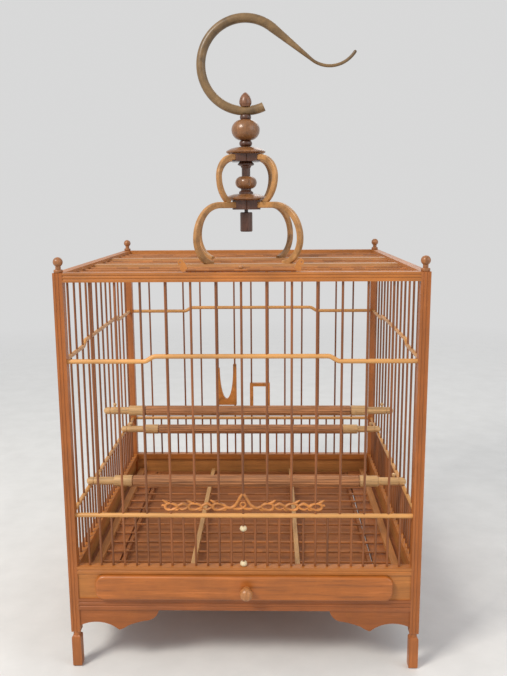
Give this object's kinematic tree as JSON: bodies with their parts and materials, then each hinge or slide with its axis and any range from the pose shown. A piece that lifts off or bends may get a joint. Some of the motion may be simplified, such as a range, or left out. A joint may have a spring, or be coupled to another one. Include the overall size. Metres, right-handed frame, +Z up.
{
  "type": "bird cage",
  "caption": "Square bamboo bird cage with barred walls, lifting carved door, pull-out tray, turned perches and a swivelling carry hook on a bentwood claw.",
  "frame": {"origin": "on the ground under the middle of the whole part, drawer knob included, which is 8.9 mm in front of the middle of the four feet", "axes": "+X to the cage's right seen from the front, +Y from the front wall with the door and drawer to the back wall, +Z up"},
  "size_m": [0.36, 0.3778, 0.6878],
  "materials": {
    "post_wood": "oiled and worn",
    "finial_wood": "oiled and worn",
    "rail_wood": "oiled and worn",
    "apron_wood": "oiled and worn",
    "board_wood": "oiled and worn",
    "bracket_wood": "oiled and worn",
    "hoop_bamboo": "oiled and worn",
    "bar_bamboo": "oiled and worn",
    "roof_slat_wood": "oiled and worn",
    "tray_wood": "oiled and worn",
    "grate_wood": "oiled and worn",
    "panel_wood": "oiled and worn",
    "knob_wood": "oiled and worn",
    "carved_bamboo": "oiled and worn",
    "bone": "polished bone",
    "perch_wood": "oiled and worn",
    "dark_wood": "oiled and worn",
    "turned_wood": "oiled and worn",
    "claw_bamboo": "oiled and worn",
    "hook_cane": "oiled and worn",
    "nut_wood": "oiled and worn"
  },
  "bodies": {
    "cage": {"apron_rails": "apron_wood", "arch_bracket": "carved_bamboo", "claw_strips_lower": "claw_bamboo", "claw_strips_upper": "claw_bamboo", "column_foot": "dark_wood", "column_stem": "dark_wood", "corner_brackets": "bracket_wood", "corner_posts": "post_wood", "cup_bracket": "carved_bamboo", "disc_lower": "turned_wood", "disc_upper": "turned_wood", "front_board_ends": "board_wood", "front_long_bars": "bar_bamboo", "front_short_bars": "bar_bamboo", "grate_bars": "bar_bamboo", "grate_ledges": "grate_wood", "grate_middle_battens": "grate_wood", "grate_side_battens": "grate_wood", "hub_lower": "dark_wood", "hub_upper": "dark_wood", "lower_hoops": "hoop_bamboo", "melon_bead": "turned_wood", "panel_boards": "board_wood", "pin_bush": "bone", "post_feet": "post_wood", "post_finials": "finial_wood", "roof_bars": "bar_bamboo", "roof_bearers": "roof_slat_wood", "sill_front": "rail_wood", "sills_plain": "rail_wood", "top_rail_back": "rail_wood", "top_rail_front": "rail_wood", "top_rails_side": "rail_wood", "tray_runners": "tray_wood", "upper_hoops": "hoop_bamboo", "wall_long_bars": "bar_bamboo", "wall_short_bars": "bar_bamboo"},
    "door": {"door_carved_rail": "carved_bamboo", "door_bars": "bar_bamboo", "door_top_rod": "bar_bamboo", "door_scrolls": "carved_bamboo", "door_knob": "knob_wood"},
    "drawer": {"drawer_board": "board_wood", "drawer_panel": "panel_wood", "drawer_knob": "knob_wood", "tray_floor": "tray_wood", "tray_walls": "tray_wood"},
    "hook": {"hook": "hook_cane", "hook_collar": "dark_wood", "hook_bead_large": "turned_wood", "hook_bead_small": "dark_wood", "retaining_peg": "dark_wood", "hook_spindle": "dark_wood", "acorn_nut": "nut_wood"},
    "drop_pin": {"drop_pin": "bar_bamboo", "drop_pin_bead": "bone"},
    "perch_upper": {"perch_upper": "perch_wood"},
    "perch_lower_front": {"perch_lower_front": "perch_wood"},
    "perch_lower_back": {"perch_lower_back": "perch_wood"}
  },
  "joints": [
    {"name": "door_lift", "type": "slide", "parent": "cage", "child": "door", "axis": [0, 0, 1], "range_m": [0, 0.125]},
    {"name": "tray_slide", "type": "slide", "parent": "cage", "child": "drawer", "axis": [0, -1, 0], "range_m": [0, 0.28]},
    {"name": "hook_swivel", "type": "hinge", "parent": "cage", "child": "hook", "pos_m": [0, 0.0089, 0.476], "axis": [0, 0, 1], "continuous": true},
    {"name": "pin_drop", "type": "slide", "parent": "cage", "child": "drop_pin", "axis": [0, 0, 1], "range_m": [-0.006, 0]},
    {"name": "perch_upper_height", "type": "slide", "parent": "cage", "child": "perch_upper", "axis": [0, 0, 1], "range_m": [-0.05, 0.09]},
    {"name": "perch_front_height", "type": "slide", "parent": "cage", "child": "perch_lower_front", "axis": [0, 0, 1], "range_m": [0, 0.14]},
    {"name": "perch_back_height", "type": "slide", "parent": "cage", "child": "perch_lower_back", "axis": [0, 0, 1], "range_m": [0, 0.14]}
  ]
}
